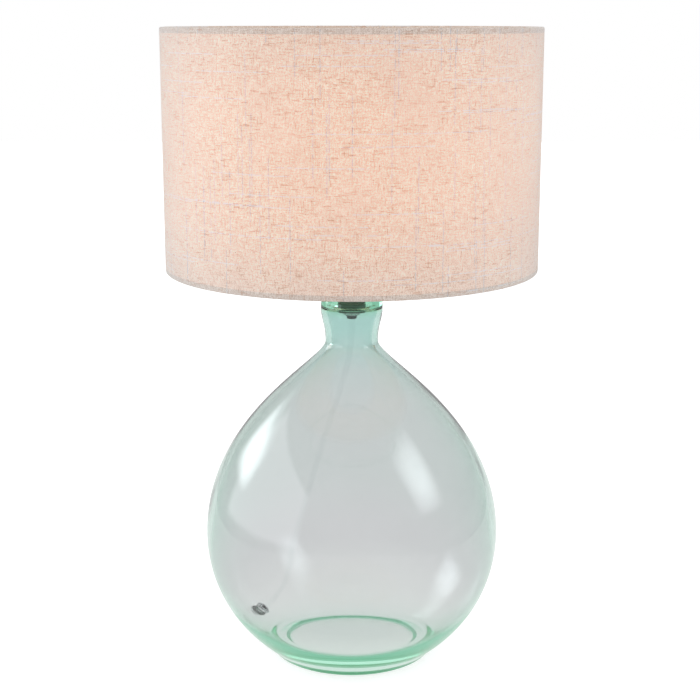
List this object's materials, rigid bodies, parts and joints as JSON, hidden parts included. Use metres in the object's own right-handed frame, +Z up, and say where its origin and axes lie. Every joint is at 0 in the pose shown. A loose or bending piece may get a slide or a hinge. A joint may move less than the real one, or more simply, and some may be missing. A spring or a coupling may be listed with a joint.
{
  "type": "table lamp with shade",
  "caption": "Clear glass demijohn bottle lamp with a screw-base lampholder in its mouth and a linen drum shade clamped on a fitter ring.",
  "frame": {"origin": "on the table, under the middle of the bottle and of the shade", "axes": "+Z up along the bottle's axis; +X to the right and +Y away, seen from the front; the cable gland is at the left and a little behind"},
  "size_m": [0.4, 0.4, 0.69],
  "materials": {
    "bottle_glass": "pale green-aqua clear recycled glass",
    "shade_linen": "oatmeal linen-look plain weave with slubs",
    "lining_film": "white translucent lampshade film",
    "coated_wire": "white powder-coated steel wire",
    "white_plastic": "white moulded thermoset, semi-gloss",
    "insert_ceramic": "cream moulded insulator",
    "contact_brass": "bright pressed brass",
    "satin_steel": "satin nickel-plated steel",
    "gland_metal": "dark grey satin",
    "black_rubber": "matt black rubber",
    "dark_plastic": "dark grey moulded plastic",
    "fibre": "pale fibre washer",
    "clear_flex": "clear flexible sheath",
    "brown_core": "brown core insulation",
    "blue_core": "blue core insulation",
    "bulb_metal": "bright screw cap",
    "bulb_plastic": "white bulb body",
    "bulb_opal": "opal diffuser, lit warm white"
  },
  "bodies": {
    "base": {"glass_bottle": "bottle_glass", "mouth_cover_plate": "satin_steel", "rubber_bung": "black_rubber", "clamp_washer": "satin_steel", "clamp_nut": "satin_steel", "threaded_nipple": "satin_steel", "nipple_bush": "dark_plastic", "inner_flex": "clear_flex", "live_core": "brown_core", "neutral_core": "blue_core", "gland_body": "gland_metal", "gland_outer_seal": "black_rubber", "gland_inner_seal": "black_rubber", "gland_nut": "gland_metal", "holder_cap": "white_plastic", "holder_skirt": "white_plastic", "holder_insert": "insert_ceramic", "screw_contact_shell": "contact_brass", "centre_contact": "contact_brass", "terminal_screw_1": "contact_brass", "terminal_screw_2": "contact_brass", "lower_shade_ring": "white_plastic"},
    "slip": {"slip_washer": "fibre"},
    "ring": {"upper_shade_ring": "white_plastic"},
    "bulb_tip": {"bulb_contact_tip": "bulb_metal"},
    "bulb": {"bulb_insulator": "dark_plastic", "bulb_screw_cap": "bulb_metal", "bulb_body": "bulb_plastic", "bulb_globe": "bulb_opal"},
    "shade": {"shade_cover": "shade_linen", "shade_lining": "lining_film", "top_wire_ring": "coated_wire", "bottom_wire_ring": "coated_wire", "fitter_ring": "coated_wire", "spoke_1": "coated_wire", "spoke_2": "coated_wire", "spoke_3": "coated_wire"}
  },
  "joints": [
    {"name": "ring_rise", "type": "slide", "parent": "base", "child": "slip", "axis": [0, 0, 1], "range_m": [0, 0.01251]},
    {"name": "ring_turn", "type": "hinge", "parent": "slip", "child": "ring", "pos_m": [0, 0, 0.4452], "axis": [0, 0, 1], "range_deg": [0, 1800]},
    {"name": "bulb_rise", "type": "slide", "parent": "base", "child": "bulb_tip", "axis": [0, 0, 1], "range_m": [0, 0.01453]},
    {"name": "bulb_turn", "type": "hinge", "parent": "bulb_tip", "child": "bulb", "pos_m": [0, 0, 0.4426], "axis": [0, 0, 1], "range_deg": [0, 1440]},
    {"name": "shade_turn", "type": "hinge", "parent": "base", "child": "shade", "pos_m": [0, 0, 0.44305], "axis": [0, 0, 1], "continuous": true}
  ],
  "couplings": [
    {"joint": "ring_rise", "follows": "ring_turn", "m_per_rad": 0.00039789},
    {"joint": "bulb_rise", "follows": "bulb_turn", "m_per_rad": 0.00057773}
  ]
}
